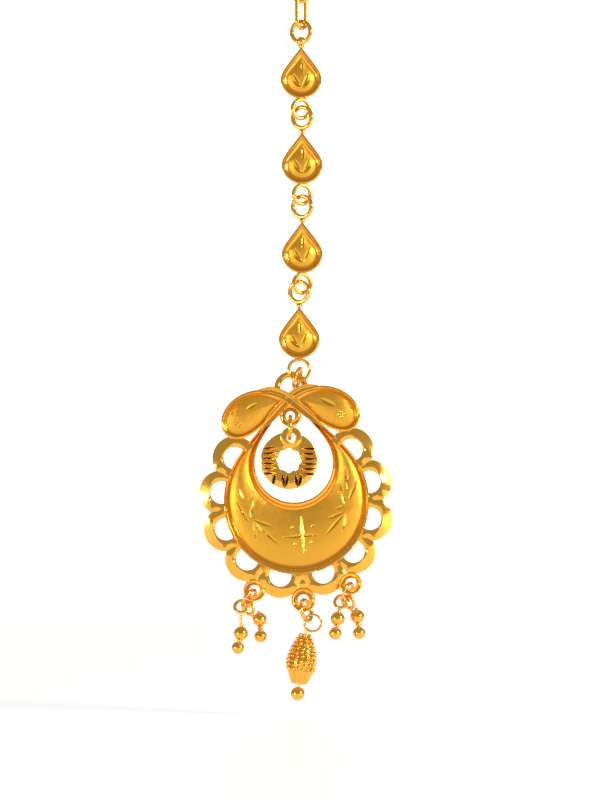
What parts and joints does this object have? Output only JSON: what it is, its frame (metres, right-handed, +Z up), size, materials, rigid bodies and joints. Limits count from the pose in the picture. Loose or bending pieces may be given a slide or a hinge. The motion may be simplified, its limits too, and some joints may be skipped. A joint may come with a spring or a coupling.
{
  "type": "maang tikka",
  "caption": "Gold forehead jewel: a hair hook, a chain of pear-shaped links and a crescent pendant with a bow, scallops, an inner disc, bead drops and a granulated berry.",
  "frame": {"origin": "inside top of the hair hook's bend, where the jewel hangs from the hair", "axes": "+Z up along the chain, front of the jewel faces -Y, +X to the right as seen from the front"},
  "size_m": [0.0323, 0.0053, 0.1278],
  "materials": {
    "polished_gold": "polished yellow gold",
    "satin_gold": "satin yellow gold with polished rims"
  },
  "bodies": {
    "chain": {"hair_hook": "polished_gold", "oval_link": "polished_gold", "drop_link_1": "polished_gold", "drop_link_2": "polished_gold", "drop_link_3": "polished_gold", "drop_link_4": "polished_gold"},
    "ring": {"jump_ring": "polished_gold"},
    "pendant": {"pendant": "satin_gold", "disc_ring": "polished_gold", "inner_disc": "polished_gold", "left_jump_ring": "polished_gold", "left_outer_beads": "polished_gold", "left_inner_beads": "polished_gold", "right_jump_ring": "polished_gold", "right_inner_beads": "polished_gold", "right_outer_beads": "polished_gold", "middle_jump_ring": "polished_gold", "berry_wire": "polished_gold", "berry": "satin_gold"}
  },
  "joints": [
    {"name": "ring_side_swing", "type": "hinge", "parent": "chain", "child": "ring", "pos_m": [-0.0003, 0, -0.07166], "axis": [0, 1, 0], "range_deg": [-30, 30]},
    {"name": "pendant_swing", "type": "hinge", "parent": "ring", "child": "pendant", "pos_m": [-0.001, 0.0005, -0.0736], "axis": [1, 0, 0], "range_deg": [-12, 20]}
  ]
}
